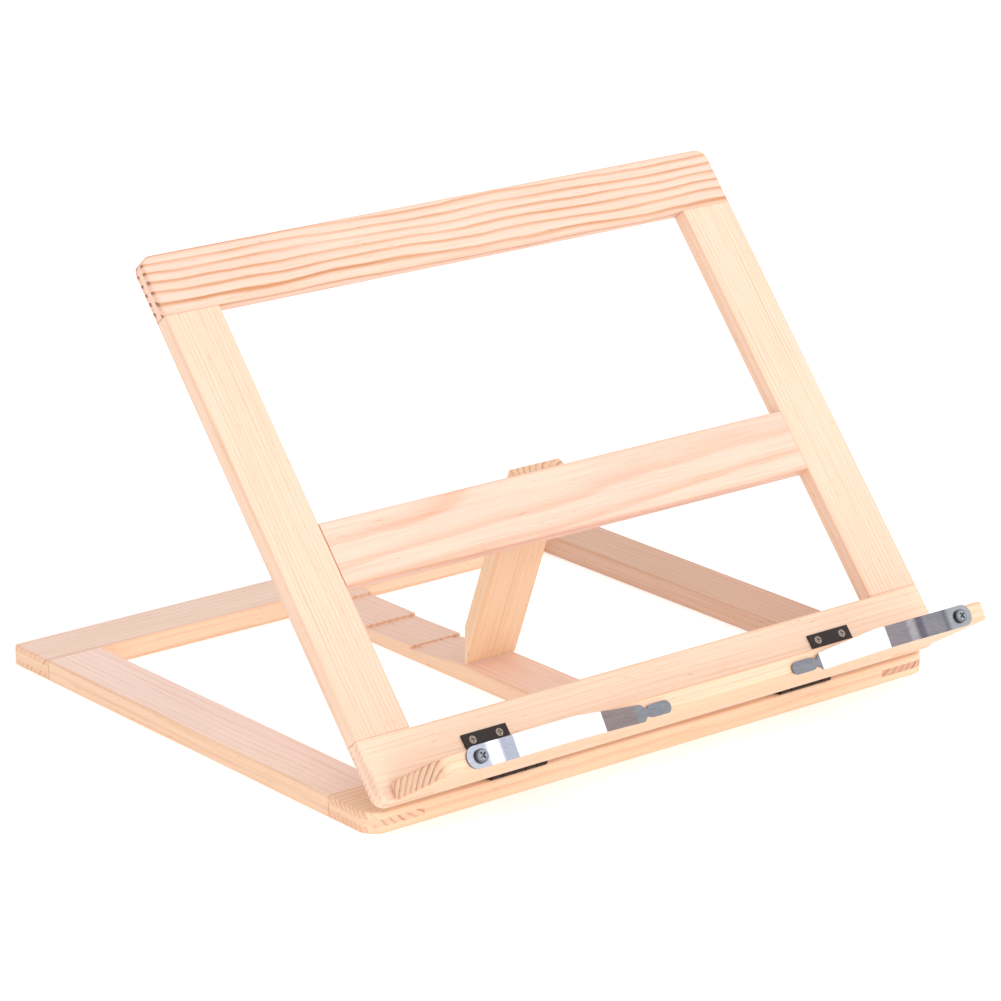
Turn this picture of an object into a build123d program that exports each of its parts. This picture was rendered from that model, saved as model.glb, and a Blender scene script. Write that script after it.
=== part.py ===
"""Folding book display stand of pine: a base frame, a tilting panel with a page ledge, and a prop leg.

Millimetres, +X to the reader's right, +Y to the rear, +Z up. The origin is at the centre of the
underside of the base frame. The stand is open, with its leg in the foremost notch of the base.
"""

from build123d import *
from math import asin, atan, atan2, cos, degrees, hypot, radians, sin
import os

# ---- The two frames
WIDTH = 335.0  # side to side
BASE_DEPTH = 282.0
PANEL_HEIGHT = 272.0
RAIL = 30.0  # width of every rail and stile
MIDDLE_RAIL = 31.6
BASE_THICK = 10.4
STOCK_THICK = 8.7  # panel and centre rail
BASE_CORNER = 9.0  # the front two
BASE_REAR_CORNER = 1.5
PANEL_CORNER = 6.0
EASE = 1.2  # rounding of the long arrises
TENON_LONG = 12.0
TENON_WIDE = 20.0

# ---- How the stand is set up
TILT = 49.5  # panel above the horizontal
LEDGE_ANGLE = 98.6  # ledge's top face to the panel's front face, fully open

# ---- Butt hinges, laid on the faces of the wood
KNUCKLE_R = 2.0
KNUCKLES = 5
KNUCKLE_GAP = 0.5  # between one knuckle and the next
PIN_R = 0.95
PIN_FIT = 0.05  # all round the pin, in the leaf that turns
LEAF_THICK = 1.0
LEAF_ROOT = 2.4  # from the pin's centre to the plate, between the leaf's own knuckles
BASE_HINGE_LONG = 31.5
BASE_HINGE_X = 86.0
BASE_LEAF_REACH = 12.0  # from the pin's centre to the leaf's free edge
SMALL_HINGE_LONG = 25.0
SMALL_LEAF_REACH = 9.4
LEDGE_HINGE_X = 103.0
BASE_PIN_AHEAD = 1.0  # in front of the base frame
BASE_PIN_RISE = 2.3  # above its top face
PANEL_BELOW_PIN = 1.2
LEDGE_PIN_HIGH = 10.4  # up the panel from its bottom edge
LEG_PIN_HIGH = 0.5  # above the middle rail's upper edge

# ---- Wood screws
SCREW_HEAD_R = 1.9
SCREW_SHANK_R = 0.8
SCREW_LONG = 6.0
SCREW_ROOM = 0.1  # round a screw in its leaf
SCREW_AT_REACH = 0.64  # share of the leaf's reach
SCREW_AT_LONG = 0.3  # share of the leaf's length, either side of its middle
RECESS_WIDE = 0.5
RECESS_DEEP = 0.6
RECESS_LONG = 0.7  # share of the head's width

# ---- Middle rail, leg and notches
MIDDLE_RAIL_LOW = 99.2  # its lower edge above the panel's bottom edge
LEG_WIDTH = 30.0
LEG_THICK = 8.0
LEG_BUTT = 1.5  # from the leg's pivot to its near end
FOOT_Y = -16.0  # the foot's lower front edge
FOOT_Z = 9.5
FOOT_SOLE = 1.0
CENTRE_RAIL = 30.6
NOTCHES = 3  # behind the one in use
NOTCH_FIRST = 27.0  # wall of the first of them
NOTCH_PITCH = 35.5
NOTCH_WALL = 1.4
RIDGE_LOW = 6.6  # top of the first tooth, clear of the foot as the leg folds
RIDGE_BEND = 1.7  # how late the next teeth rise to the full height; 1 is an even rise

# ---- Ledge and page clips
LEDGE_INSET = 5.8
LEDGE_DEPTH = 43.3
LEDGE_THICK = 9.0
LEDGE_CORNER = 6.0
LEDGE_NOSE = 3.0  # rounding of its lower inner edge
LEDGE_STOP_GAP = 0.06  # from the panel to its lower inner corner, before that is rounded
CLIP_X = 142.3  # the clip's screw
CLIP_END_X = 144.5  # centre of its round outer end
CLIP_HALF_HIGH = 5.1
CLIP_TAPER_X = 90.0
CLIP_SHOULDER_X = 53.0
CLIP_SHOULDER_TOP = 1.9
CLIP_SHOULDER_LOW = -6.0
CLIP_SHOULDER_ROUND = 1.6
CLIP_NECK_X = 50.0
CLIP_NECK_HIGH = 3.2
CLIP_NECK_LEAN = 2.0  # how far the shoulders slant in to the neck
CLIP_TAB_X = 43.3
CLIP_TAB_LONG = 14.0
CLIP_TAB_HIGH = 6.0
CLIP_TAB_DROP = -2.0  # the tab's centre below the ledge's mid height
CLIP_THICK = 0.8
CLIP_OFF = 0.15  # between the clip and the ledge
CLIP_FLAT_X = 131.0  # the blade bows away from the ledge from here on
CLIP_BOW = 1.8
CLIP_TAB_OFF = 0.4
CLIP_BORE_R = 2.0
CLIP_SCREW_R = 1.7
CLIP_SCREW_LONG = 12.0
CLIP_HEAD_R = 3.2
CLIP_HEAD_HIGH = 1.7
CLIP_HEAD_GAP = 0.15
CLIP_HEAD_ROUND = 0.6  # share of the head's height
CLIP_RECESS_WIDE = 0.8
CLIP_RECESS_DEEP = 0.96
CLIP_RECESS_LONG = 0.55  # share of the head's width
CLIP_RECESS_TURN = 30.0

os.makedirs("parts", exist_ok=True)

# ---- Directions and planes of the four assemblies
across = Vector(1, 0, 0)
panel_up = Vector(0, cos(radians(TILT)), sin(radians(TILT)))
panel_out = Vector(0, -sin(radians(TILT)), cos(radians(TILT)))
ledge_slope = radians(TILT + LEDGE_ANGLE)
ledge_out = Vector(0, cos(ledge_slope), sin(ledge_slope))
ledge_top = Vector(0, sin(ledge_slope), -cos(ledge_slope))

base_pin = Vector(0, -BASE_DEPTH / 2 - BASE_PIN_AHEAD, BASE_THICK + BASE_PIN_RISE)
panel_corner = base_pin - panel_up * PANEL_BELOW_PIN + panel_out * KNUCKLE_R
PANEL = Plane(origin=panel_corner, x_dir=across, z_dir=panel_out)  # its back face, Y up the panel
panel_middle = PANEL_HEIGHT / 2

ledge_pin = panel_corner + panel_up * LEDGE_PIN_HIGH + panel_out * (STOCK_THICK + KNUCKLE_R)
# The ledge's inner edge is set so that its lower corner, left square, would just reach the panel.
stop_lean = ledge_top.dot(panel_out) * (KNUCKLE_R + LEDGE_THICK)
ledge_back = (KNUCKLE_R - stop_lean - LEDGE_STOP_GAP) / ledge_out.dot(panel_out)
ledge_front = LEDGE_DEPTH - ledge_back
LEDGE = Plane(origin=ledge_pin - ledge_top * KNUCKLE_R, x_dir=across, z_dir=ledge_top)  # its top face
clip_centre = LEDGE.origin + ledge_out * ledge_front - ledge_top * (LEDGE_THICK / 2)
CLIP = Plane(origin=clip_centre, x_dir=across, z_dir=ledge_out)  # the ledge's outer face

leg_pin = (
    panel_corner
    + panel_up * (MIDDLE_RAIL_LOW + MIDDLE_RAIL + LEG_PIN_HIGH)
    - panel_out * KNUCKLE_R
)
# The foot's lower edge is a corner of the leg's lower face, a knuckle's radius off the pivot.
foot_reach = hypot(FOOT_Y - leg_pin.Y, FOOT_Z - leg_pin.Z)
leg_slope = atan2(FOOT_Z - leg_pin.Z, FOOT_Y - leg_pin.Y) - asin(KNUCKLE_R / foot_reach)
leg_long = foot_reach * cos(asin(KNUCKLE_R / foot_reach))
leg_down = Vector(0, cos(leg_slope), sin(leg_slope))
leg_out = Vector(0, -sin(leg_slope), cos(leg_slope))
LEG_SIDE = Plane(origin=leg_pin, x_dir=leg_down, z_dir=across)  # X down the leg, Y to its upper face

screw_cone = 2 * degrees(atan((SCREW_HEAD_R - SCREW_SHANK_R) / LEAF_THICK))


def keep(part, name):
    """Label a finished piece and write it."""
    part.label = name
    export_step(part, f"parts/{name}.step")


class Leaf:
    """Where one hinge leaf lies: its pin's middle, its way from the pin, and the wood's outward side."""

    def __init__(self, pin_middle, along, out, long, reach):
        self.long = long
        self.reach = reach
        self.face = Plane(origin=pin_middle, x_dir=along, z_dir=out)
        self.side = Plane(origin=pin_middle, x_dir=along, z_dir=along.cross(out))
        self.wood = self.face.offset(-KNUCKLE_R)
        self.metal = self.face.offset(LEAF_THICK - KNUCKLE_R)
        self.screws = [(reach * SCREW_AT_REACH, end * SCREW_AT_LONG * long) for end in (-1, 1)]


def leaf_pair(pin, along_a, out_a, along_b, out_b, long, reach):
    return Leaf(pin, along_a, out_a, long, reach), Leaf(pin, along_b, out_b, long, reach)


def base_leaves(x):
    rear, up = Vector(0, 1, 0), Vector(0, 0, 1)
    pin = base_pin + across * x
    return leaf_pair(pin, rear, up, panel_up, -panel_out, BASE_HINGE_LONG, BASE_LEAF_REACH)


def ledge_leaves(x):
    pin = ledge_pin + across * x
    return leaf_pair(
        pin, panel_up, panel_out, ledge_out, ledge_top, SMALL_HINGE_LONG, SMALL_LEAF_REACH
    )


def leg_leaves():
    return leaf_pair(
        leg_pin, -panel_up, -panel_out, leg_down, -leg_out, SMALL_HINGE_LONG, SMALL_LEAF_REACH
    )


SIDES = {"left": -1, "right": 1}
base_hinges = {side: base_leaves(sign * BASE_HINGE_X) for side, sign in SIDES.items()}
ledge_hinges = {side: ledge_leaves(sign * LEDGE_HINGE_X) for side, sign in SIDES.items()}
leg_hinge = leg_leaves()


def pilot_holes(leaves):
    """Bore the open part for the screws of these leaves."""
    for leaf in leaves:
        with Locations(leaf.wood):
            with Locations(*leaf.screws):
                Hole(SCREW_SHANK_R, depth=SCREW_LONG - LEAF_THICK)


# ---- Frames


def frame_blank(plane, long, thick, near_corner, far_corner):
    """A frame with eased arrises, before it is cut into rails. The near corners are the lower two."""
    with BuildPart() as frame:
        with BuildSketch(plane) as plan:
            Rectangle(WIDTH, long)
            fillet(plan.vertices().group_by(Axis.Y)[-1], far_corner)
            fillet(plan.vertices().group_by(Axis.Y)[0], near_corner)
            Rectangle(WIDTH - 2 * RAIL, long - 2 * RAIL, mode=Mode.SUBTRACT)
        extrude(amount=thick)
        depth = Axis(plane.origin, plane.z_dir)
        flat = frame.faces().filter_by(depth).sort_by(depth)
        fillet(flat[0].edges() + flat[-1].edges(), EASE)
    return frame.part


def cross_rail(frame, plane, long, thick, end, mortise, leaves=()):
    """A full-width rail, slotted at both ends. end is -1 for the lower or front rail, 1 for the other."""
    middle = end * (long - RAIL) / 2
    with BuildPart() as rail:
        add(frame)
        with BuildSketch(plane):
            with Locations((0, middle)):
                Rectangle(WIDTH, RAIL)
        extrude(amount=thick, mode=Mode.INTERSECT)
        with BuildSketch(plane.offset(thick / 3)):
            with Locations((-(WIDTH - RAIL) / 2, middle), ((WIDTH - RAIL) / 2, middle)):
                Rectangle(RAIL, RAIL)
        extrude(amount=thick / 3, mode=Mode.SUBTRACT)
        if mortise:
            with BuildSketch(plane.offset(STOCK_THICK / 3)):
                with Locations((0, end * (long / 2 - RAIL + TENON_LONG / 2))):
                    Rectangle(TENON_WIDE, TENON_LONG)
            extrude(amount=STOCK_THICK / 3, mode=Mode.SUBTRACT)
        pilot_holes(leaves)
    return rail.part


def side_rail(frame, plane, long, thick, side, mortise_at=None):
    """A lengthwise rail or stile, with a tongue at each end. side is -1 for left and 1 for right."""
    middle = side * (WIDTH - RAIL) / 2
    ends = [(middle, -(long - RAIL) / 2), (middle, (long - RAIL) / 2)]
    with BuildPart() as rail:
        add(frame)
        with BuildSketch(plane):
            with Locations((middle, 0)):
                Rectangle(RAIL, long)
        extrude(amount=thick, mode=Mode.INTERSECT)
        for cheek in (0, thick * 2 / 3):
            with BuildSketch(plane.offset(cheek)):
                with Locations(*ends):
                    Rectangle(RAIL, RAIL)
            extrude(amount=thick / 3, mode=Mode.SUBTRACT)
        if mortise_at is not None:
            with BuildSketch(plane.offset(thick / 3)):
                with Locations((side * (WIDTH / 2 - RAIL + TENON_LONG / 2), mortise_at)):
                    Rectangle(TENON_LONG, TENON_WIDE)
            extrude(amount=thick / 3, mode=Mode.SUBTRACT)
    return rail.part


def base_frame_pieces():
    blank = frame_blank(Plane.XY, BASE_DEPTH, BASE_THICK, BASE_CORNER, BASE_REAR_CORNER)
    size = (BASE_DEPTH, BASE_THICK)
    lower_leaves = [pair[0] for pair in base_hinges.values()]
    keep(cross_rail(blank, Plane.XY, *size, -1, True, lower_leaves), "base_front_rail")
    keep(cross_rail(blank, Plane.XY, *size, 1, True), "base_rear_rail")
    for side, sign in SIDES.items():
        keep(side_rail(blank, Plane.XY, *size, sign), f"base_{side}_rail")


def panel_frame_pieces():
    plane = PANEL.shift_origin(PANEL.origin + panel_up * panel_middle)
    blank = frame_blank(plane, PANEL_HEIGHT, STOCK_THICK, PANEL_CORNER, PANEL_CORNER)
    size = (PANEL_HEIGHT, STOCK_THICK)
    leaves = [pair[1] for pair in base_hinges.values()] + [pair[0] for pair in ledge_hinges.values()]
    mortise_at = MIDDLE_RAIL_LOW + MIDDLE_RAIL / 2 - panel_middle
    keep(cross_rail(blank, plane, *size, -1, False, leaves), "panel_bottom_rail")
    keep(cross_rail(blank, plane, *size, 1, False), "panel_top_rail")
    for side, sign in SIDES.items():
        keep(side_rail(blank, plane, *size, sign, mortise_at), f"panel_{side}_stile")


def middle_rail():
    clear = WIDTH - 2 * RAIL
    plane = PANEL.shift_origin(PANEL.origin + panel_up * (MIDDLE_RAIL_LOW + MIDDLE_RAIL / 2))
    with BuildPart() as rail:
        with BuildSketch(plane):
            Rectangle(clear, MIDDLE_RAIL)
        extrude(amount=STOCK_THICK)
        fillet(rail.edges().filter_by(Axis.X), EASE)
        with BuildSketch(plane.offset(STOCK_THICK / 3)):
            Rectangle(clear + 2 * TENON_LONG, TENON_WIDE)
        extrude(amount=STOCK_THICK / 3)
        pilot_holes([leg_hinge[0]])
    keep(rail.part, "panel_middle_rail")


def notched_rail():
    """The centre rail of the base: level to the foot, then saw teeth whose walls face the front."""
    inner = BASE_DEPTH / 2 - RAIL
    outline = [(-inner, 0), (-inner, STOCK_THICK), (FOOT_Y + 2 * FOOT_SOLE, STOCK_THICK)]
    for notch in range(NOTCHES):
        wall = NOTCH_FIRST + notch * NOTCH_PITCH
        ridge = RIDGE_LOW + (STOCK_THICK - RIDGE_LOW) * (notch / (NOTCHES - 1)) ** RIDGE_BEND
        outline += [(wall, ridge - NOTCH_WALL), (wall, ridge)]
    outline += [(inner, STOCK_THICK), (inner, 0)]
    with BuildPart() as rail:
        with BuildSketch(Plane.YZ):
            with BuildLine():
                Polyline(*outline, close=True)
            make_face()
        extrude(amount=CENTRE_RAIL / 2, both=True)
        fillet(rail.edges().filter_by(Axis.Y), EASE / 2)
        with BuildSketch(Plane.XY.offset(STOCK_THICK / 3)):
            Rectangle(TENON_WIDE, 2 * (inner + TENON_LONG))
        extrude(amount=STOCK_THICK / 3)
    keep(rail.part, "notched_centre_rail")


def support_leg():
    """The leg's foot is cut upright for the notch wall, with a narrow flat sole."""
    sole_end = (
        leg_long + FOOT_SOLE * cos(leg_slope),
        KNUCKLE_R - FOOT_SOLE * sin(leg_slope),
    )
    upright = LEG_THICK + FOOT_SOLE * sin(leg_slope)  # left of the thickness above the sole
    kink = (sole_end[0] + upright / cos(leg_slope) * sin(leg_slope), KNUCKLE_R + LEG_THICK)
    with BuildPart() as leg:
        with BuildSketch(LEG_SIDE):
            with BuildLine():
                Polyline(
                    (LEG_BUTT, KNUCKLE_R),
                    (leg_long, KNUCKLE_R),
                    sole_end,
                    kink,
                    (LEG_BUTT, KNUCKLE_R + LEG_THICK),
                    close=True,
                )
            make_face()
        extrude(amount=LEG_WIDTH / 2, both=True)
        long_edges = leg.edges().filter_by(lambda e: abs(e.tangent_at(0).dot(leg_down)) > 0.999)
        fillet(long_edges, EASE / 2)
        pilot_holes([leg_hinge[1]])
    keep(leg.part, "support_leg")


# ---- Ledge and clips


def ledge_board():
    half = WIDTH / 2 - LEDGE_INSET
    with BuildPart() as ledge:
        with BuildSketch(LEDGE) as plan:
            with Locations((0, ledge_back - LEDGE_DEPTH / 2)):
                Rectangle(2 * half, LEDGE_DEPTH)
            fillet(plan.vertices().group_by(Axis.Y)[0], LEDGE_CORNER)
        extrude(amount=-LEDGE_THICK)
        outer = ledge.faces().filter_by(Axis(ledge_pin, ledge_top)).edges()
        inner_edges = outer.filter_by(Axis.X).sort_by(Axis(ledge_pin, ledge_out))[:2]
        fillet([edge for edge in outer if edge not in inner_edges], EASE)
        inner_face = ledge.faces().sort_by(Axis(ledge_pin, ledge_out))[0]
        fillet(inner_face.edges().sort_by(Axis(ledge_pin, ledge_top))[:1], LEDGE_NOSE)
        pilot_holes([pair[1] for pair in ledge_hinges.values()])
        with Locations(CLIP):
            with Locations((-CLIP_X, 0), (CLIP_X, 0)):
                Hole(CLIP_SCREW_R, depth=CLIP_SCREW_LONG - CLIP_OFF - CLIP_THICK - CLIP_HEAD_GAP)
    keep(ledge.part, "ledge_board")


def page_clips():
    """A spring-steel blade with a rounded tab, bowed away from the ledge between screw and tab."""
    from_above = Plane(origin=CLIP.origin, x_dir=across, z_dir=-ledge_top)  # Y out of the ledge
    end = CLIP_TAB_X - CLIP_TAB_LONG / 2
    near = CLIP_END_X + CLIP_HALF_HIGH
    bow_x = (CLIP_FLAT_X + end) / 2
    with BuildPart() as clip:
        with BuildSketch(from_above):
            with BuildLine():
                Line((near, CLIP_OFF), (CLIP_FLAT_X, CLIP_OFF))
                ThreePointArc((CLIP_FLAT_X, CLIP_OFF), (bow_x, CLIP_OFF + CLIP_BOW), (end, CLIP_TAB_OFF))
                Line((end, CLIP_TAB_OFF), (end, CLIP_TAB_OFF + CLIP_THICK))
                ThreePointArc(
                    (end, CLIP_TAB_OFF + CLIP_THICK),
                    (bow_x, CLIP_OFF + CLIP_BOW + CLIP_THICK),
                    (CLIP_FLAT_X, CLIP_OFF + CLIP_THICK),
                )
                Line((CLIP_FLAT_X, CLIP_OFF + CLIP_THICK), (near, CLIP_OFF + CLIP_THICK))
                Line((near, CLIP_OFF + CLIP_THICK), (near, CLIP_OFF))
            make_face()
        extrude(amount=2 * CLIP_HALF_HIGH, both=True)
        with BuildSketch(CLIP) as outline:
            with BuildLine():
                Polyline(
                    (CLIP_END_X, CLIP_HALF_HIGH),
                    (CLIP_TAPER_X, CLIP_HALF_HIGH),
                    (CLIP_SHOULDER_X, CLIP_SHOULDER_TOP),
                    (CLIP_SHOULDER_X - CLIP_NECK_LEAN, CLIP_TAB_DROP + CLIP_NECK_HIGH / 2),
                    (CLIP_SHOULDER_X - CLIP_NECK_LEAN, CLIP_TAB_DROP - CLIP_NECK_HIGH / 2),
                    (CLIP_SHOULDER_X, CLIP_SHOULDER_LOW),
                    (CLIP_TAPER_X, -CLIP_HALF_HIGH),
                    (CLIP_END_X, -CLIP_HALF_HIGH),
                    close=True,
                )
            make_face()
            shoulders = outline.vertices().filter_by_position(Axis.X, CLIP_SHOULDER_X, CLIP_SHOULDER_X)
            fillet(shoulders, CLIP_SHOULDER_ROUND)
            with Locations((CLIP_END_X, 0)):
                Circle(CLIP_HALF_HIGH)
            with Locations((CLIP_NECK_X, CLIP_TAB_DROP)):
                Rectangle(CLIP_TAB_HIGH, CLIP_NECK_HIGH)
            with Locations((CLIP_TAB_X, CLIP_TAB_DROP)):
                SlotOverall(CLIP_TAB_LONG, CLIP_TAB_HIGH)
            with Locations((CLIP_X, 0)):
                Circle(CLIP_BORE_R, mode=Mode.SUBTRACT)
        extrude(amount=2 * CLIP_BOW + CLIP_THICK, mode=Mode.INTERSECT)
    keep(clip.part, "page_clip_right")
    keep(mirror(clip.part, about=Plane.YZ), "page_clip_left")


def clip_screws():
    seat = CLIP.offset(CLIP_OFF + CLIP_THICK + CLIP_HEAD_GAP)
    recess_long = 2 * CLIP_HEAD_R * CLIP_RECESS_LONG
    for side, sign in SIDES.items():
        with BuildPart() as screw:
            with BuildSketch(seat):
                with Locations((sign * CLIP_X, 0)):
                    Circle(CLIP_HEAD_R)
            extrude(amount=CLIP_HEAD_HIGH)
            crown = screw.faces().sort_by(Axis(clip_centre, ledge_out))[-1]
            fillet(crown.edges(), CLIP_HEAD_HIGH * CLIP_HEAD_ROUND)
            with BuildSketch(seat):
                with Locations((sign * CLIP_X, 0)):
                    Circle(CLIP_SCREW_R)
            extrude(amount=-CLIP_SCREW_LONG)
            with BuildSketch(seat.offset(CLIP_HEAD_HIGH)):
                with Locations((sign * CLIP_X, 0)):
                    Rectangle(recess_long, CLIP_RECESS_WIDE, rotation=CLIP_RECESS_TURN)
                    Rectangle(CLIP_RECESS_WIDE, recess_long, rotation=CLIP_RECESS_TURN)
            extrude(amount=-CLIP_RECESS_DEEP, mode=Mode.SUBTRACT)
        keep(screw.part, f"page_clip_screw_{side}")


# ---- Hinges


def hinge_leaf(leaf, own, bore_r, name):
    """A plate with some of the barrel's knuckles. own lists their places along the barrel, from 0."""
    step = leaf.long / KNUCKLES
    with BuildPart() as plate:
        with BuildSketch(leaf.wood):
            with Locations(((LEAF_ROOT + leaf.reach) / 2, 0)):
                Rectangle(leaf.reach - LEAF_ROOT, leaf.long)
        extrude(amount=LEAF_THICK)
        for place in own:
            with BuildSketch(leaf.side.offset(place * step - leaf.long / 2 + KNUCKLE_GAP / 2)):
                Circle(KNUCKLE_R)
                with Locations((LEAF_ROOT / 2, LEAF_THICK / 2 - KNUCKLE_R)):
                    Rectangle(LEAF_ROOT, LEAF_THICK)
                Circle(bore_r, mode=Mode.SUBTRACT)
            extrude(amount=step - KNUCKLE_GAP)
        with Locations(leaf.metal):
            with Locations(*leaf.screws):
                CounterSinkHole(
                    SCREW_SHANK_R + SCREW_ROOM,
                    SCREW_HEAD_R + SCREW_ROOM,
                    depth=2 * LEAF_THICK,
                    counter_sink_angle=screw_cone,
                )
    keep(plate.part, name)


def hinge_pin(leaf, name):
    with BuildPart() as pin:
        with BuildSketch(leaf.side):
            Circle(PIN_R)
        extrude(amount=(leaf.long - KNUCKLE_GAP) / 2, both=True)
    keep(pin.part, name)


def wood_screws(leaves, name):
    """Countersunk cross-head screws, flush with their leaves, as one group."""
    top_down = (Align.CENTER, Align.CENTER, Align.MAX)
    recess_long = 2 * SCREW_HEAD_R * RECESS_LONG
    with BuildPart() as screws:
        for leaf in leaves:
            with Locations(leaf.metal):
                with Locations(*leaf.screws):
                    Cone(SCREW_SHANK_R, SCREW_HEAD_R, LEAF_THICK, align=top_down)
                    Cylinder(SCREW_SHANK_R, SCREW_LONG, align=top_down)
                    Box(recess_long, RECESS_WIDE, RECESS_DEEP, align=top_down, mode=Mode.SUBTRACT)
                    Box(RECESS_WIDE, recess_long, RECESS_DEEP, align=top_down, mode=Mode.SUBTRACT)
    keep(screws.part, name)


def hinge(pair, name, fixed, turning):
    """The fixed leaf holds the pin and the outer knuckles; the turning leaf has those between."""
    hinge_leaf(pair[0], range(0, KNUCKLES, 2), PIN_R, f"{name}_{fixed}_leaf")
    hinge_leaf(pair[1], range(1, KNUCKLES, 2), PIN_R + PIN_FIT, f"{name}_{turning}_leaf")
    hinge_pin(pair[0], f"{name}_pin")


def hinges():
    for side in SIDES:
        hinge(base_hinges[side], f"base_hinge_{side}", "lower", "upper")
        hinge(ledge_hinges[side], f"ledge_hinge_{side}", "panel", "ledge")
    hinge(leg_hinge, "leg_hinge", "rail", "leg")
    wood_screws([pair[0] for pair in base_hinges.values()], "base_hinge_lower_screws")
    wood_screws([pair[1] for pair in base_hinges.values()], "base_hinge_upper_screws")
    wood_screws([pair[0] for pair in ledge_hinges.values()], "ledge_hinge_panel_screws")
    wood_screws([pair[1] for pair in ledge_hinges.values()], "ledge_hinge_ledge_screws")
    wood_screws([leg_hinge[0]], "leg_hinge_rail_screws")
    wood_screws([leg_hinge[1]], "leg_hinge_leg_screws")


base_frame_pieces()
notched_rail()
panel_frame_pieces()
middle_rail()
support_leg()
ledge_board()
page_clips()
clip_screws()
hinges()

# ---- Joint axes, for whoever sets up the motion
print("base pin", base_pin)
print("leg pin", leg_pin, "leg slope", round(degrees(leg_slope), 3), "leg long", round(leg_long, 2))
print("leg turned from flush", round(TILT - degrees(leg_slope), 3))
print("ledge pin", ledge_pin)
print("clip centre", clip_centre, "clip axis", ledge_out)
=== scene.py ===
from math import cos, radians, sin

import bpy
from mathutils import Matrix, Vector


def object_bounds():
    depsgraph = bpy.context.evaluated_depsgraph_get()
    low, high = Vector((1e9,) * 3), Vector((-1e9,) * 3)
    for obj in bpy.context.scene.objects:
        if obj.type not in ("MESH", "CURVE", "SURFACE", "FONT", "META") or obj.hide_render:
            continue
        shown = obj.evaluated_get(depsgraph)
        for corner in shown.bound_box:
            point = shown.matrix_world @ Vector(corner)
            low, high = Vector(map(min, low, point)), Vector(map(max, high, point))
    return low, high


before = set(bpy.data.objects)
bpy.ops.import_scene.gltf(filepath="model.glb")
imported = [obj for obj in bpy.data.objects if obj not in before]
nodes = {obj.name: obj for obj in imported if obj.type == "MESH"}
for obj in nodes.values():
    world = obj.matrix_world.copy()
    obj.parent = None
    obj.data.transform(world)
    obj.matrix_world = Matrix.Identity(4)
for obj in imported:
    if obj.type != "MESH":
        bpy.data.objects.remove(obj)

cad_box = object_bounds()

# ---- The photo's view, in the frame's metres and degrees
VIEW_AZIMUTH = -38.89
VIEW_ELEVATION = 17.92
VIEW_DISTANCE = 2.1839
VIEW_TARGET = Vector((0.07715, 0.07236, 0.05025))
LENS = 157.43
SENSOR = 36.0

# ---- Slopes of the assemblies about X, in degrees. Local Y runs up the panel, out along the ledge,
# and down the leg.
FLAT = 0.0
PANEL_SLOPE = 49.5
LEDGE_SLOPE = 148.1
LEG_SLOPE = -68.922
RAIL = 0.030

# ---- Pine. A stretch is how many noise cells fit in a metre along the grain, across it and through it.
SEED_STEP = (1.7, 0.9, 1.3)
SLOW_STRETCH = (9.0, 30.0, 30.0)
FINE_STRETCH = (45.0, 160.0, 160.0)
PATCH_STRETCH = (14.0, 70.0, 70.0)
FIBRE_STRETCH = (18.0, 1100.0, 1100.0)
FLECK_STRETCH = (130.0, 1500.0, 1500.0)
DRIFT_STRETCH = (7.0, 28.0, 28.0)
KNOT_STRETCH = (110.0, 420.0, 420.0)
FINE_WAVE = 0.0009
WORN_WIDTH = 0.0022
RING_PROFILE = ((0.0, 0.0), (0.52, 0.08), (0.80, 1.0), (0.90, 0.9), (1.0, 0.0))
RING_FAINTEST = 0.45
RING_SPREAD = 0.55

# Bands: where a value starts and stops counting, and what it counts for at either end.
PATCH_BAND = (0.25, 0.7, 0.55, 1.0)
FLECK_BAND = (0.70, 0.80)
DRIFT_BAND = (0.3, 0.7)
END_BAND = (0.70, 0.93)
PAINTED_TOP_BAND = (0.6, 0.95)
FIBRE_BAND = (0.40, 0.75, 0.0, 0.42)
KNOT_BAND = (0.70, 0.77, 0.0)
WORN_BAND = (0.35, 0.65, 0.25, 0.7)
SEAM_BAND = (0.0001, 0.0006, 0.55, 0.0)
FLECK_SHARE = 0.5

# Tints that multiply the wood's colour, and the colour of late wood on end grain.
END_LATE_WOOD = (0.36, 0.17, 0.10)
PINK_TINT = (1.0, 0.90, 0.93)
FIBRE_TINT = (0.80, 0.68, 0.56)
FLECK_TINT = (0.62, 0.40, 0.24)
KNOT_TINT = (0.62, 0.38, 0.22)
END_TINT = (0.98, 0.92, 0.92)
WORN_TINT = (0.93, 0.80, 0.68)
SEAM_TINT = (0.55, 0.33, 0.18)

# Roughness: the least, then what fibres and end grain add and late wood takes off. A relief is a
# bump's strength and its depth in metres.
PINE_ROUGH = 0.46
FIBRE_ROUGH = 0.16
END_ROUGH = 0.14
LATE_POLISH = 0.07
PINE_RELIEF = (0.35, 0.00025)
PINE_SPECULAR = 0.35

# ---- Dark lacquered metal
MOTTLE_STRETCH = (650.0, 650.0, 650.0)
GRIT_STRETCH = (3500.0, 3500.0, 3500.0)
RUBBED_WIDTH = 0.0007
RUBBED_BAND = (0.45, 0.62, 0.0, 0.8)
MOTTLE_BAND = (0.3, 0.7)
MOTTLE_GAIN = 2.2
LACQUER_ROUGH = (0.34, 0.56)
LACQUER_RELIEF = (0.25, 0.00008)
LACQUER_SPECULAR = 0.3

# ---- Brushed steel
BRUSH_STRETCH = (60.0, 5200.0, 5200.0)
SMEAR_STRETCH = (55.0, 240.0, 240.0)
BRUSH_TINT = (0.74, 0.76, 0.80)
BRUSH_BAND = (0.42, 0.72, 0.0, 0.45)
SMEAR_TINT = (0.86, 0.88, 0.92)
SMEAR_BAND = (0.45, 0.65, 0.0, 0.6)
BROAD_BAND = (0.55, 0.85)
STEEL_ROUGH_BAND = (0.3, 0.7, 0.18, 0.34)
STEEL_RELIEF = (0.12, 0.00005)


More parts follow.
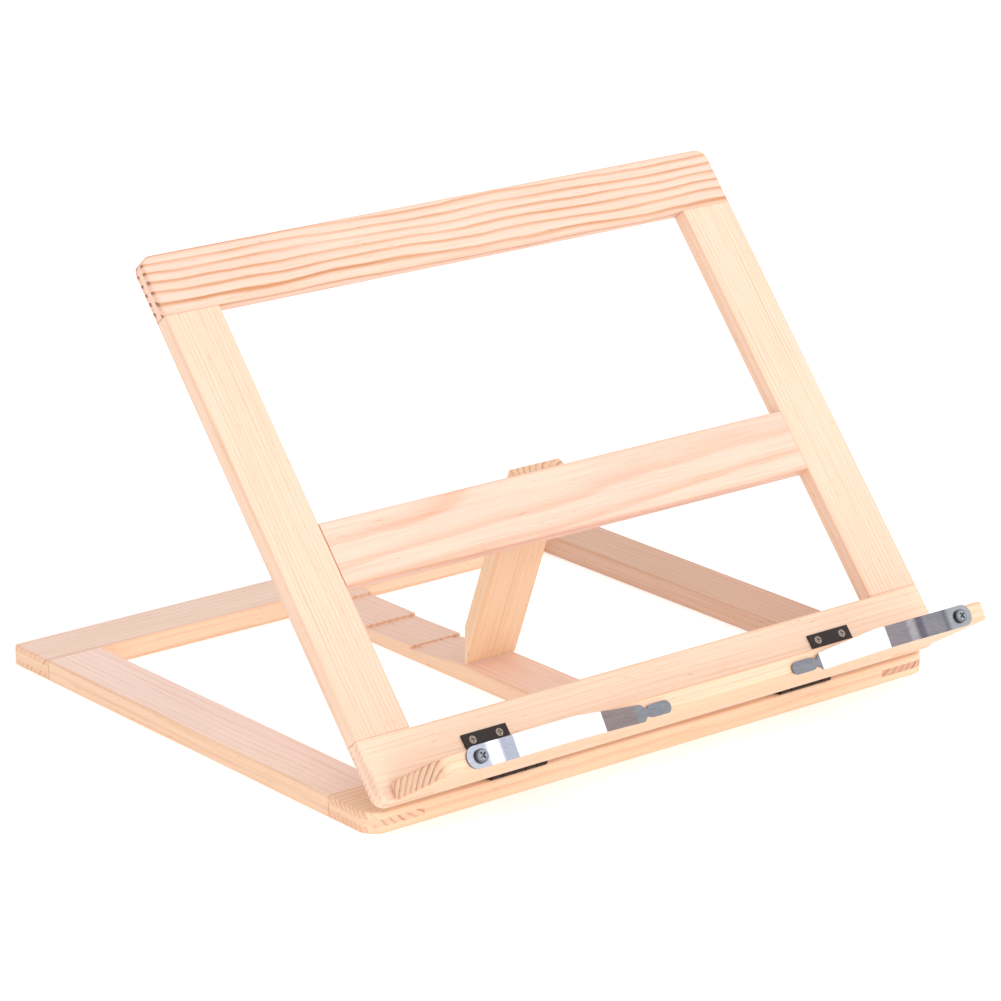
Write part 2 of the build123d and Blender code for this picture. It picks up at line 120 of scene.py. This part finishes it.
def local_box(obj, slope):
    """The piece's centre, in its node's coordinates, and its half size along its own turned axes."""
    turn = Matrix.Rotation(radians(slope), 3, "X")
    back = turn.transposed()
    points = [back @ v.co for v in obj.data.vertices]
    low = Vector(min(p[i] for p in points) for i in range(3))
    high = Vector(max(p[i] for p in points) for i in range(3))
    return turn @ ((low + high) / 2), (high - low) / 2


class Shade:
    """A node material, with short calls for the nodes it is made of."""

    def __init__(self, name):
        self.material = bpy.data.materials.new(name)
        self.material.use_nodes = True
        self.tree = self.material.node_tree
        self.tree.nodes.clear()
        output = self.add("ShaderNodeOutputMaterial")
        self.bsdf = self.add("ShaderNodeBsdfPrincipled")
        self.link(self.bsdf.outputs[0], output.inputs[0])

    def add(self, kind, **settings):
        node = self.tree.nodes.new(kind)
        for key, value in settings.items():
            setattr(node, key, value)
        return node

    def link(self, source, target):
        self.tree.links.new(source, target)

    def put(self, socket, value):
        """Link the value if it is a socket, or set it as the socket's constant."""
        if isinstance(value, bpy.types.NodeSocket):
            self.link(value, socket)
        elif isinstance(value, tuple) and len(value) == 3 and socket.type == "RGBA":
            socket.default_value = (*value, 1.0)
        else:
            socket.default_value = value

    def surface(self, name, value):
        self.put(self.bsdf.inputs[name], value)

    def math(self, operation, a, b=0.0, clamp=False):
        node = self.add("ShaderNodeMath", operation=operation, use_clamp=clamp)
        self.put(node.inputs[0], a)
        self.put(node.inputs[1], b)
        return node.outputs[0]

    def times_plus(self, a, b, extra):
        total = self.math("MULTIPLY_ADD", a, b)
        total.node.inputs[2].default_value = extra
        return total

    def scaled(self, vector, by):
        return self.vector_math("MULTIPLY", vector, by)

    def moved(self, vector, by):
        return self.vector_math("ADD", vector, by)

    def vector_math(self, operation, vector, by):
        node = self.add("ShaderNodeVectorMath", operation=operation)
        self.put(node.inputs[0], vector)
        node.inputs[1].default_value = by
        return node.outputs[0]

    def noise(self, vector, detail=2.0, rough=0.5):
        node = self.add("ShaderNodeTexNoise")
        self.put(node.inputs["Vector"], vector)
        node.inputs["Scale"].default_value = 1.0
        node.inputs["Detail"].default_value = detail
        node.inputs["Roughness"].default_value = rough
        return node.outputs["Fac"]

    def band(self, value, low, high, to_low=0.0, to_high=1.0):
        """Ease from to_low to to_high as the value goes from low to high."""
        node = self.add("ShaderNodeMapRange", interpolation_type="SMOOTHSTEP")
        for socket, given in zip(node.inputs, (value, low, high, to_low, to_high)):
            self.put(socket, given)
        return node.outputs[0]

    def mix(self, a, b, share, blend="MIX"):
        node = self.add("ShaderNodeMix", data_type="RGBA", blend_type=blend)
        self.put(node.inputs["Factor"], share)
        self.put(node.inputs[6], a)
        self.put(node.inputs[7], b)
        return node.outputs[2]

    def tint(self, colour, by, share):
        return self.mix(colour, by, share, "MULTIPLY")

    def ramp(self, value, stops):
        node = self.add("ShaderNodeValToRGB")
        self.put(node.inputs[0], value)
        points = node.color_ramp.elements
        while len(points) < len(stops):
            points.new(1.0)
        for point, (place, level) in zip(points, stops):
            point.position = place
            point.color = (level, level, level, 1.0)
        return node.outputs[0]

    def bump(self, height, strength, distance):
        node = self.add("ShaderNodeBump")
        node.inputs["Strength"].default_value = strength
        node.inputs["Distance"].default_value = distance
        self.put(node.inputs["Height"], height)
        return node.outputs[0]

    def coordinates(self, kind):
        return self.add("ShaderNodeTexCoord").outputs[kind]

    def local(self, obj, slope):
        """Coordinates along the piece's own turned axes from its centre, and the piece's half size."""
        centre, half = local_box(obj, slope)
        place = self.add("ShaderNodeMapping", vector_type="TEXTURE")
        place.inputs["Location"].default_value = centre
        place.inputs["Rotation"].default_value = (radians(slope), 0.0, 0.0)
        self.link(self.coordinates("Object"), place.inputs["Vector"])
        return place.outputs[0], half

    def parts(self, vector):
        node = self.add("ShaderNodeSeparateXYZ")
        self.put(node.inputs[0], vector)
        return node.outputs[0], node.outputs[1], node.outputs[2]

    def arris(self, xyz, half, width):
        """1 on the edges of the piece's box, fading to 0 over width: the middle one of the three gaps
        to the box's sides is nothing there."""
        gaps = [self.math("SUBTRACT", h, self.math("ABSOLUTE", v)) for v, h in zip(xyz, half)]
        total = self.math("ADD", self.math("ADD", gaps[0], gaps[1]), gaps[2])
        least = self.math("MINIMUM", self.math("MINIMUM", gaps[0], gaps[1]), gaps[2])
        most = self.math("MAXIMUM", self.math("MAXIMUM", gaps[0], gaps[1]), gaps[2])
        middle = self.math("SUBTRACT", self.math("SUBTRACT", total, least), most)
        return self.band(middle, 0.0, width, 1.0, 0.0)

    def facing(self, slope, axis):
        """How squarely the surface faces along the piece's own axis, either way."""
        turned = self.add("ShaderNodeVectorRotate", rotation_type="X_AXIS", invert=True)
        turned.inputs["Angle"].default_value = radians(slope)
        self.link(self.coordinates("Normal"), turned.inputs["Vector"])
        return self.math("ABSOLUTE", self.parts(turned.outputs[0])["XYZ".index(axis)])

    def finish(self, node):
        """Give the material to the node's mesh."""
        slots = nodes[node].data.materials
        if slots:
            slots[0] = self.material
        else:
            slots.append(self.material)


def pine(node, slope, along, seed, pith, ring, contrast, wave=0.0022, lean=0.0, light=(0.87, 0.625, 0.475),
         dark=(0.58, 0.26, 0.115), blush=0.12, painted_top_light=None, butt=0.35, knots=0.0, seams=False):
    """Pine cut from one log: growth rings round a pith line that runs along the piece. pith is its place
    across the width and the thickness, ring the ring's width, contrast how dark late wood is, wave how far
    the rings bend, and lean tips them along the length. light and dark are early and late wood, blush how
    pink they drift, and the top colour is painted on upward faces: painted sheen, and painted shade on a
    piece in the panel's shadow. butt is how much stronger the rings show on end grain, and knots how dark
    its pin knots are. seams draws the glue lines at both shoulders."""
    shade = Shade(f"pine_{node}")
    place, half = shade.local(nodes[node], slope)
    xyz = shade.parts(place)
    length, width = (xyz[0], xyz[1]) if along == "X" else (xyz[1], xyz[0])
    grain = shade.add("ShaderNodeCombineXYZ")
    for socket, value in zip(grain.inputs, (length, width, xyz[2])):
        shade.link(value, socket)
    grain = shade.moved(grain.outputs[0], tuple(seed * step for step in SEED_STEP))

    # Rings: distance from the pith, bent slowly along the piece and finely across it.
    across = shade.math("SUBTRACT", width, pith[0])
    deep = shade.math("SUBTRACT", xyz[2], pith[1])
    squares = shade.math("ADD", shade.math("MULTIPLY", across, across), shade.math("MULTIPLY", deep, deep))
    radius = shade.math("SQRT", squares)
    slow = shade.noise(shade.scaled(grain, SLOW_STRETCH))
    fine = shade.noise(shade.scaled(grain, FINE_STRETCH))
    for bend, reach in ((slow, 2 * wave), (fine, FINE_WAVE)):
        radius = shade.math("ADD", radius, shade.math("MULTIPLY", shade.math("SUBTRACT", bend, 0.5), reach))
    radius = shade.math("ADD", radius, shade.math("MULTIPLY", length, lean))
    count = shade.math("DIVIDE", radius, ring)
    late = shade.ramp(shade.math("FRACT", count), RING_PROFILE)
    each = shade.add("ShaderNodeTexWhiteNoise", noise_dimensions="1D")
    shade.link(shade.math("ADD", shade.math("FLOOR", count), seed), each.inputs["W"])
    strong = shade.times_plus(each.outputs["Value"], RING_SPREAD, RING_FAINTEST)
    patchy = shade.band(shade.noise(shade.scaled(grain, PATCH_STRETCH)), *PATCH_BAND)
    late = shade.math("MULTIPLY", shade.math("MULTIPLY", late, strong), patchy)

    # Fibres, resin flecks and a slow drift of colour.
    fibre = shade.noise(shade.scaled(grain, FIBRE_STRETCH), detail=3.0, rough=0.6)
    fleck = shade.band(shade.noise(shade.scaled(grain, FLECK_STRETCH), detail=1.0), *FLECK_BAND)
    drift = shade.band(shade.noise(shade.scaled(grain, DRIFT_STRETCH), detail=3.0), *DRIFT_BAND)
    end = shade.band(shade.facing(slope, along), *END_BAND)
    rim = shade.arris(xyz, half, WORN_WIDTH)

    # Upward faces take the painted top colour: painted sheen, and painted shade in the panel's shadow.
    if painted_top_light:
        upward = shade.parts(shade.coordinates("Normal"))[2]
        light = shade.mix(light, painted_top_light, shade.band(upward, *PAINTED_TOP_BAND))
    pink = shade.tint(light, PINK_TINT, 1.0)
    dark = shade.mix(dark, END_LATE_WOOD, shade.math("MULTIPLY", end, butt))
    strength = shade.math("ADD", contrast, shade.math("MULTIPLY", end, butt))
    depth = shade.math("MULTIPLY", late, strength, clamp=True)
    plain = shade.mix(light, dark, depth)
    blushed = shade.mix(pink, dark, depth)
    colour = shade.mix(plain, blushed, shade.math("MULTIPLY", drift, blush * 2, clamp=True))
    colour = shade.tint(colour, FIBRE_TINT, shade.band(fibre, *FIBRE_BAND))
    colour = shade.tint(colour, FLECK_TINT, shade.math("MULTIPLY", fleck, FLECK_SHARE))
    if knots:
        specks = shade.noise(shade.scaled(grain, KNOT_STRETCH), detail=1.0)
        colour = shade.tint(colour, KNOT_TINT, shade.band(specks, *KNOT_BAND, knots))
    colour = shade.tint(colour, END_TINT, end)
    worn = shade.math("MULTIPLY", rim, shade.band(slow, *WORN_BAND))
    colour = shade.tint(colour, WORN_TINT, worn)
    if seams:
        # Glue line where the piece's shoulders meet the rails that cross it.
        shoulder = shade.math("SUBTRACT", shade.math("ABSOLUTE", length), half[1] - RAIL)
        line = shade.band(shade.math("ABSOLUTE", shoulder), *SEAM_BAND)
        colour = shade.tint(colour, SEAM_TINT, line)
    shade.surface("Base Color", colour)

    rough = shade.times_plus(fibre, FIBRE_ROUGH, PINE_ROUGH)
    rough = shade.math("ADD", rough, shade.math("MULTIPLY", end, END_ROUGH))
    shade.surface("Roughness", shade.math("SUBTRACT", rough, shade.math("MULTIPLY", late, LATE_POLISH)))
    height = shade.math("ADD", shade.math("MULTIPLY", late, 0.5), shade.math("MULTIPLY", fibre, 0.5))
    shade.surface("Normal", shade.bump(height, *PINE_RELIEF))
    shade.bsdf.inputs["Specular IOR Level"].default_value = PINE_SPECULAR
    shade.finish(node)


def black_metal(node, slope, seed, base=(0.013, 0.007, 0.006), rub=(0.17, 0.085, 0.055), metal=0.2):
    """Dark lacquered hinge metal, mottled, and rubbed brown along its edges."""
    shade = Shade(f"black_{node}")
    place, half = shade.local(nodes[node], slope)
    xyz = shade.parts(place)
    spot = shade.moved(place, (seed, seed * 0.7, seed * 0.4))
    mottle = shade.noise(shade.scaled(spot, MOTTLE_STRETCH), detail=3.0, rough=0.6)
    grit = shade.noise(shade.scaled(spot, GRIT_STRETCH))
    rim = shade.arris(xyz, half, RUBBED_WIDTH)
    worn = shade.math("MULTIPLY", rim, shade.band(mottle, *RUBBED_BAND))
    colour = shade.mix(base, tuple(c * MOTTLE_GAIN for c in base), shade.band(mottle, *MOTTLE_BAND))
    shade.surface("Base Color", shade.mix(colour, rub, worn))
    shade.surface("Roughness", shade.band(mottle, *MOTTLE_BAND, *LACQUER_ROUGH))
    shade.surface("Normal", shade.bump(grit, *LACQUER_RELIEF))
    shade.bsdf.inputs["Metallic"].default_value = metal
    shade.bsdf.inputs["Specular IOR Level"].default_value = LACQUER_SPECULAR
    shade.finish(node)


def steel(node, seed, first, *painted_reflections):
    """Spring steel, brushed along X. first is the colour of the left end, and the zones are the (x, colour,
    softness) steps from there to the right. On the clips these paint reflections into the colour: a painted
    glint and a bluish painted reflection near the round end, and darker painted reflections on one side of
    the blade's bend, with the plain steel between. The sheared edges keep their own dark colour."""
    shade = Shade(f"steel_{node}")
    place = shade.coordinates("Object")
    x = shade.parts(place)[0]
    brushed = shade.moved(place, (seed, seed, seed))
    brushed = shade.noise(shade.scaled(brushed, BRUSH_STRETCH), detail=3.0, rough=0.65)
    smear = shade.noise(shade.scaled(place, SMEAR_STRETCH))
    colour = first
    # Each step paints a reflection into the steel's colour.
    for start, reflection, soft in painted_reflections:
        colour = shade.mix(colour, reflection, shade.band(x, start - soft, start + soft))
    colour = shade.tint(colour, BRUSH_TINT, shade.band(brushed, *BRUSH_BAND))
    colour = shade.tint(colour, SMEAR_TINT, shade.band(smear, *SMEAR_BAND))
    broad = shade.band(shade.facing(LEDGE_SLOPE, "Y"), *BROAD_BAND)
    shade.surface("Base Color", shade.mix(SHEARED, colour, broad))
    shade.surface("Roughness", shade.band(brushed, *STEEL_ROUGH_BAND))
    shade.surface("Normal", shade.bump(brushed, *STEEL_RELIEF))
    shade.bsdf.inputs["Metallic"].default_value = 1.0
    shade.finish(node)


# ---- Wood, piece by piece
# The beige, pale top and notched top colours are painted sheen on upward faces; SHADED is painted shade
# from the panel.
SHEEN_BEIGE = (0.85, 0.64, 0.53)
PALE_TOP_SHEEN = (0.90, 0.69, 0.60)
NOTCHED_TOP_SHEEN = (0.84, 0.60, 0.485)
SHADED = (0.66, 0.43, 0.315)
WARM = (0.87, 0.61, 0.43)
CREAM = (0.89, 0.665, 0.515)
LEG_WOOD = (0.87, 0.62, 0.42)
PINK = (0.87, 0.605, 0.485)
PINK_DARK = (0.74, 0.42, 0.29)

pine("panel_top_rail", PANEL_SLOPE, "X", seed=1.0, pith=(-0.030, -0.013), ring=0.0043, contrast=1.15,
     wave=0.0034, lean=0.010, light=PINK, butt=0.9)
pine("panel_bottom_rail", PANEL_SLOPE, "X", seed=2.0, pith=(0.060, -0.030), ring=0.0024, contrast=0.22,
     wave=0.0012, blush=0.05, light=CREAM)
pine("panel_middle_rail", PANEL_SLOPE, "X", seed=3.0, pith=(0.016, -0.030), ring=0.0056, contrast=0.90,
     wave=0.0036, lean=0.022, light=PINK, dark=PINK_DARK, blush=0.45, butt=0.0)
pine("panel_left_stile", PANEL_SLOPE, "Y", seed=4.0, pith=(0.055, -0.020), ring=0.0020, contrast=0.36,
     wave=0.0012, seams=True)
pine("panel_right_stile", PANEL_SLOPE, "Y", seed=5.0, pith=(-0.060, -0.018), ring=0.0021, contrast=0.34,
     wave=0.0012, seams=True)
pine("base_front_rail", FLAT, "X", seed=6.0, pith=(0.045, -0.030), ring=0.0026, contrast=0.42,
     wave=0.0012, light=WARM)
pine("base_rear_rail", FLAT, "X", seed=7.0, pith=(-0.045, -0.025), ring=0.0034, contrast=0.30,
     wave=0.0016, light=WARM, painted_top_light=SHEEN_BEIGE)
pine("base_left_rail", FLAT, "Y", seed=8.0, pith=(0.030, 0.034), ring=0.0032, contrast=0.30,
     wave=0.0020, light=WARM, painted_top_light=PALE_TOP_SHEEN, butt=0.8, seams=True)
pine("base_right_rail", FLAT, "Y", seed=9.0, pith=(-0.035, 0.035), ring=0.0032, contrast=0.50,
     wave=0.0018, light=SHADED, painted_top_light=SHADED, butt=0.8, seams=True)
pine("notched_centre_rail", FLAT, "Y", seed=10.0, pith=(0.040, -0.020), ring=0.0036, contrast=0.24,
     wave=0.0014, light=WARM, painted_top_light=NOTCHED_TOP_SHEEN)
pine("support_leg", LEG_SLOPE, "Y", seed=11.0, pith=(0.022, -0.018), ring=0.0030, contrast=0.22,
     wave=0.0016, light=LEG_WOOD, blush=0.03, butt=0.7)
pine("ledge_board", LEDGE_SLOPE, "X", seed=12.0, pith=(0.045, 0.055), ring=0.0034, contrast=0.38,
     wave=0.0016, light=WARM, butt=0.9, knots=0.5)

# ---- Hinges and their screws. A leaf lies along the piece it is screwed to, and a pin along its hinge.
LEAF_SLOPES = {"upper_leaf": PANEL_SLOPE, "panel_leaf": PANEL_SLOPE, "rail_leaf": PANEL_SLOPE,
               "ledge_leaf": LEDGE_SLOPE, "leg_leaf": LEG_SLOPE, "lower_leaf": FLAT}
PIN_SLOPES = {"base_hinge": FLAT, "ledge_hinge": PANEL_SLOPE, "leg_hinge": LEG_SLOPE}
HINGE_SEED = 20.0
SCREW_METAL = {"base": (0.17, 0.14, 0.12), "rub": (0.48, 0.41, 0.35), "metal": 0.85}

for order, name in enumerate(sorted(n for n in nodes if "hinge" in n)):
    if name.endswith("screws"):
        black_metal(name, FLAT, HINGE_SEED + order, **SCREW_METAL)
    else:
        pin_slope = next(s for start, s in PIN_SLOPES.items() if name.startswith(start))
        slope = next((s for end, s in LEAF_SLOPES.items() if name.endswith(end)), pin_slope)
        black_metal(name, slope, HINGE_SEED + order)

# ---- Clips: polished steel with painted reflections, each blade painted darker on one side of its bend line
WHITE = (0.60, 0.60, 0.62)
SHEARED = (0.163, 0.163, 0.184)
TAB_REFLECTION = (0.129, 0.133, 0.146)
ROUND_END_REFLECTION = (0.272, 0.286, 0.333)
BLUE_REFLECTION_BAND = (0.272, 0.286, 0.347)
LEFT_BEND_REFLECTION = (0.136, 0.112, 0.109)
RIGHT_BEND_REFLECTION = (0.136, 0.119, 0.129)
BEND_LIGHT_REFLECTION = (0.197, 0.187, 0.194)
BEND_DARK_REFLECTION = (0.075, 0.068, 0.082)
BEND_GREY_REFLECTION = (0.136, 0.129, 0.143)
ROOT_DARK_REFLECTION = (0.088, 0.085, 0.095)
ROOT_LIGHT_REFLECTION = (0.184, 0.187, 0.204)
SCREW = (0.177, 0.184, 0.204)
CRISP = 0.0003
SOFT = 0.0016

# Painted reflections along each blade: a glint, bluish bands, darker patches by the bend and stripes by the
# screw.
steel("page_clip_left", 50.0, ROUND_END_REFLECTION, (-0.1375, WHITE, SOFT), (-0.1309, BLUE_REFLECTION_BAND, SOFT),
      (-0.1233, WHITE, CRISP), (-0.0755, LEFT_BEND_REFLECTION, CRISP), (-0.0570, TAB_REFLECTION, SOFT))
steel("page_clip_right", 51.0, TAB_REFLECTION, (0.0530, WHITE, CRISP), (0.0950, RIGHT_BEND_REFLECTION, CRISP),
      (0.1090, BEND_LIGHT_REFLECTION, SOFT), (0.1140, BEND_DARK_REFLECTION, SOFT), (0.1190, BEND_GREY_REFLECTION, SOFT),
      (0.1320, ROOT_DARK_REFLECTION, SOFT), (0.1350, ROOT_LIGHT_REFLECTION, SOFT))
steel("page_clip_screw_left", 52.0, SCREW)
steel("page_clip_screw_right", 53.0, SCREW)

# ---- Floor: white paper that glows a little, so that it stays white under the stand
FLOOR_REACH = 12.0
FLOOR_GREY = (0.78, 0.78, 0.78)
FLOOR_ROUGH = 0.9
FLOOR_GLOW = 0.42
PURE_WHITE = (1.0, 1.0, 1.0)

mesh = bpy.data.meshes.new("floor")
corners = [(-FLOOR_REACH, -FLOOR_REACH), (FLOOR_REACH, -FLOOR_REACH), (FLOOR_REACH, FLOOR_REACH),
           (-FLOOR_REACH, FLOOR_REACH)]
mesh.from_pydata([(x, y, cad_box[0].z) for x, y in corners], [], [(0, 1, 2, 3)])
floor = bpy.data.objects.new("floor", mesh)
bpy.context.scene.collection.objects.link(floor)
paper = Shade("pale_floor")
paper.surface("Base Color", FLOOR_GREY)
paper.surface("Roughness", FLOOR_ROUGH)
paper.surface("Emission Color", PURE_WHITE)
paper.bsdf.inputs["Emission Strength"].default_value = FLOOR_GLOW
mesh.materials.append(paper.material)

# ---- World and lights
WORLD_LIGHT = 0.92
KEY_PLACE, KEY_SIZE, KEY_WATTS = (-0.45, -2.4, 0.95), 2.6, 28.0
FILL_PLACE, FILL_SIZE, FILL_WATTS = (1.5, -1.5, 1.35), 1.3, 10.0

world = bpy.data.worlds.new("studio")
world.use_nodes = True
sky = world.node_tree.nodes["Background"]
sky.inputs["Color"].default_value = (*PURE_WHITE, 1.0)
sky.inputs["Strength"].default_value = WORLD_LIGHT
bpy.context.scene.world = world


def softbox(name, place, size, watts):
    """A square light that faces the frame's origin."""
    lamp = bpy.data.lights.new(name, "AREA")
    lamp.size = size
    lamp.energy = watts
    box = bpy.data.objects.new(name, lamp)
    box.location = place
    box.rotation_euler = (-Vector(place)).to_track_quat("-Z", "Y").to_euler()
    bpy.context.scene.collection.objects.link(box)


softbox("key", KEY_PLACE, KEY_SIZE, KEY_WATTS)
softbox("fill", FILL_PLACE, FILL_SIZE, FILL_WATTS)

# ---- Camera
turn, rise = radians(VIEW_AZIMUTH), radians(VIEW_ELEVATION)
away = Vector((sin(turn) * cos(rise), -cos(turn) * cos(rise), sin(rise)))
lens = bpy.data.cameras.new("camera")
lens.lens = LENS
lens.sensor_width = SENSOR
camera = bpy.data.objects.new("camera", lens)
camera.location = VIEW_TARGET + away * VIEW_DISTANCE
camera.rotation_euler = (-away).to_track_quat("-Z", "Y").to_euler()
bpy.context.scene.collection.objects.link(camera)
bpy.context.scene.camera = camera
bpy.context.scene.view_settings.view_transform = "Standard"
